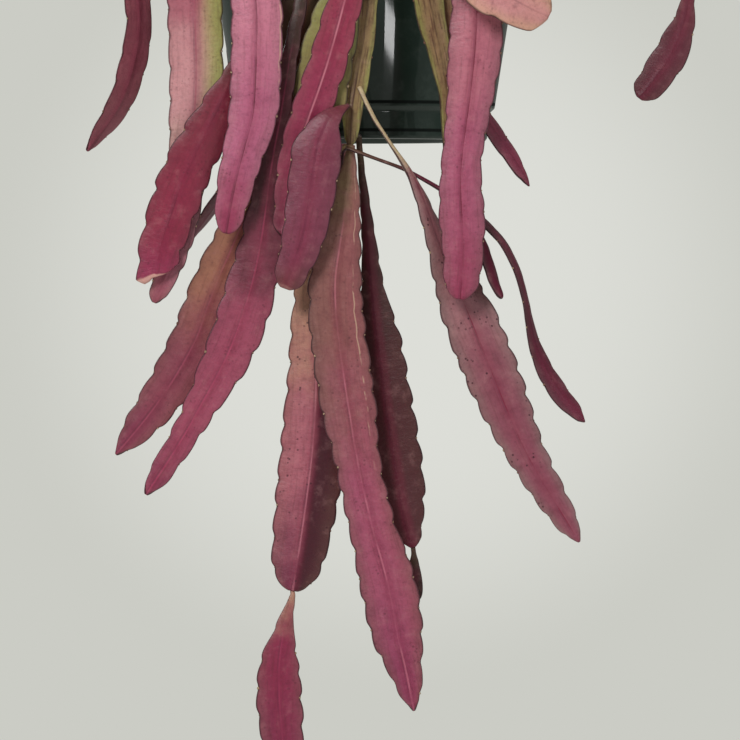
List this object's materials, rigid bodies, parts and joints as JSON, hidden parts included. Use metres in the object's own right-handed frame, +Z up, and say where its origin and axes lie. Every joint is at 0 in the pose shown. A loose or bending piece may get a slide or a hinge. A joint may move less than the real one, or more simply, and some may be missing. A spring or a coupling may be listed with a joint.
{
  "type": "potted rhipsalis in a hanging pot",
  "caption": "Trailing cactus with flat, notched, red and pink jointed stems in a glossy dark green hanging pot, with soil, a three-wire hanger and a hook.",
  "frame": {"origin": "the point inside the hook where it bears on what holds it up, on the axis of the pot", "axes": "+Z up along the axis of the pot, -Y towards the front of the plant, where its longest stems hang, +X to the right seen from the front"},
  "size_m": [0.25, 0.2131, 0.6342],
  "materials": {
    "green_plastic": "glossy",
    "potting_soil": "matt",
    "steel_wire": "galvanised",
    "stem_bark": "satin",
    "stem_crimson": "satin",
    "stem_mauve": "satin",
    "stem_olive": "satin",
    "stem_pale": "satin",
    "stem_plum": "satin",
    "stem_rose": "satin",
    "stem_wine": "satin"
  },
  "bodies": {
    "root": {"hanger_wire_1": "steel_wire", "hanger_wire_2": "steel_wire", "hanger_wire_3": "steel_wire", "hook": "steel_wire", "pot": "green_plastic", "segment_back_left_drop": "stem_crimson", "segment_back_left_trail": "stem_rose", "segment_back_right_drop": "stem_plum", "segment_back_right_trail": "stem_rose", "segment_back_trail": "stem_mauve", "segment_centre_crimson": "stem_crimson", "segment_centre_dark": "stem_olive", "segment_centre_green": "stem_olive", "segment_centre_plum": "stem_plum", "segment_far_left": "stem_wine", "segment_far_right": "stem_wine", "segment_fork_inner": "stem_plum", "segment_fork_outer": "stem_mauve", "segment_left_back_drop": "stem_mauve", "segment_left_back_trail": "stem_plum", "segment_left_curl": "stem_mauve", "segment_left_pale": "stem_pale", "segment_left_rose": "stem_rose", "segment_left_side_drop": "stem_rose", "segment_left_side_trail": "stem_wine", "segment_left_sliver": "stem_wine", "segment_left_wine": "stem_wine", "segment_long_centre": "stem_rose", "segment_long_left": "stem_mauve", "segment_long_shaded": "stem_wine", "segment_lowest": "stem_crimson", "segment_right_back_drop": "stem_crimson", "segment_right_back_trail": "stem_rose", "segment_right_brown": "stem_olive", "segment_right_mauve": "stem_mauve", "segment_right_pale": "stem_pale", "segment_right_ribbon": "stem_wine", "segment_right_rose": "stem_rose", "segment_right_side_drop": "stem_rose", "segment_right_side_trail": "stem_mauve", "segment_right_sliver": "stem_wine", "segment_right_spear": "stem_crimson", "segment_shaded_end": "stem_wine", "segment_top_young": "stem_olive", "soil": "potting_soil", "stem_back": "stem_bark", "stem_back_left": "stem_bark", "stem_back_right": "stem_bark", "stem_far_right": "stem_bark", "stem_front": "stem_bark", "stem_front_left": "stem_bark", "stem_front_right": "stem_olive", "stem_left_back": "stem_bark", "stem_left_centre": "stem_bark", "stem_left_low": "stem_bark", "stem_left_side": "stem_bark", "stem_right": "stem_bark", "stem_right_back": "stem_bark", "stem_right_side": "stem_bark"}
  },
  "joints": []
}
